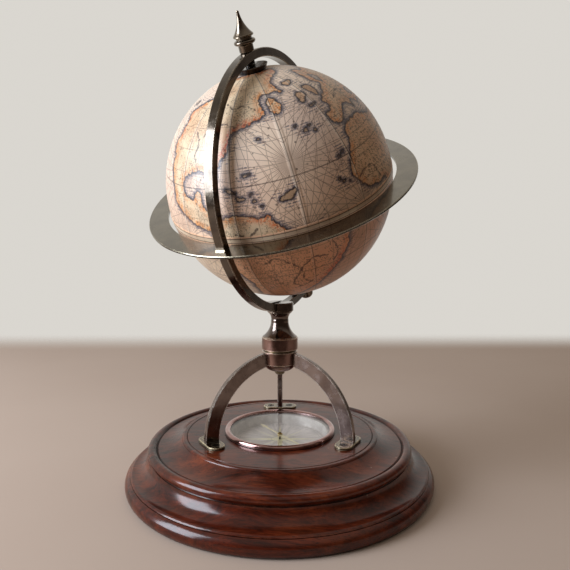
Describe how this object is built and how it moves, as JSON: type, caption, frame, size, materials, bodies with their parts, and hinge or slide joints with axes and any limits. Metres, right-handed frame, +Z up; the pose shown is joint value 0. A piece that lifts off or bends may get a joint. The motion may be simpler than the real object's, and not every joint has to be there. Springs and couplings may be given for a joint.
{
  "type": "desk globe with compass base",
  "caption": "Antique-style desk globe in a full meridian ring with a flat horizon ring, on an arched tripod over a glazed compass set in a stepped round wood base.",
  "frame": {"origin": "middle of the base's underside, on the felt's lower face", "axes": "+Z up along the stand's axis; +Y towards the back leg; the globe's axle leans towards -Y and a little -X"},
  "size_m": [0.1968, 0.1968, 0.2768],
  "materials": {
    "lacquered_wood": "turned hardwood, dark red-brown stain under glossy lacquer",
    "felt": "pressed wool felt",
    "screw_brass": "plain brass, worn",
    "compass_brass": "turned brass",
    "steel": "bare steel",
    "dial_card": "printed card, silvered",
    "glass": "clear, polished",
    "copper_bronze": "copper-toned bronze, aged",
    "dark_bronze": "bronzed brass, dark patina worn light on the edges",
    "olive_brass": "bronzed brass, brushed round, olive patina",
    "turned_bronze": "polished bronze, brown lacquer",
    "worn_brass": "brass, bronzing worn off",
    "solder": "soft solder, as run",
    "map_paper": "printed paper over pressed shell, satin varnish, aged",
    "pulp_board": "raw pulp board"
  },
  "bodies": {
    "stand": {"wood_base": "lacquered_wood", "felt_pad": "felt", "foot_screws": "screw_brass", "compass_case": "compass_brass", "dial_support": "compass_brass", "compass_dial": "dial_card", "compass_pivot": "steel", "spacer_ring": "compass_brass", "compass_glass": "glass", "compass_bezel": "copper_bronze", "leg_back": "dark_bronze", "leg_left": "dark_bronze", "leg_right": "dark_bronze", "foot_plate_back": "worn_brass", "foot_plate_left": "worn_brass", "foot_plate_right": "worn_brass", "leg_hub": "dark_bronze", "swivel_washer": "worn_brass"},
    "head": {"swivel_collar": "copper_bronze", "neck": "dark_bronze", "centre_stud": "steel", "stud_nut": "dark_bronze", "meridian_ring": "dark_bronze", "horizon_ring": "olive_brass", "solder_fillets": "solder", "ring_screw": "screw_brass", "axle": "steel", "finial": "turned_bronze", "south_nut": "turned_bronze", "north_washer": "worn_brass", "south_washer": "worn_brass"},
    "globe": {"north_hemisphere": "map_paper", "south_hemisphere": "map_paper", "equator_hoop": "pulp_board", "equator_tape": "map_paper", "north_bush": "compass_brass", "south_bush": "compass_brass", "north_cap": "turned_bronze", "south_cap": "turned_bronze"},
    "needle": {"compass_needle": "steel", "needle_cap": "compass_brass"}
  },
  "joints": [
    {"name": "head_swivel", "type": "hinge", "parent": "stand", "child": "head", "pos_m": [0, 0, 0.0835], "axis": [0, 0, 1], "continuous": true},
    {"name": "globe_spin", "type": "hinge", "parent": "head", "child": "globe", "pos_m": [0, 0, 0.189], "axis": [-0.2231, -0.4475, 0.866], "continuous": true},
    {"name": "needle_swing", "type": "hinge", "parent": "stand", "child": "needle", "pos_m": [0, 0, 0.027], "axis": [0, 0, 1], "continuous": true}
  ]
}
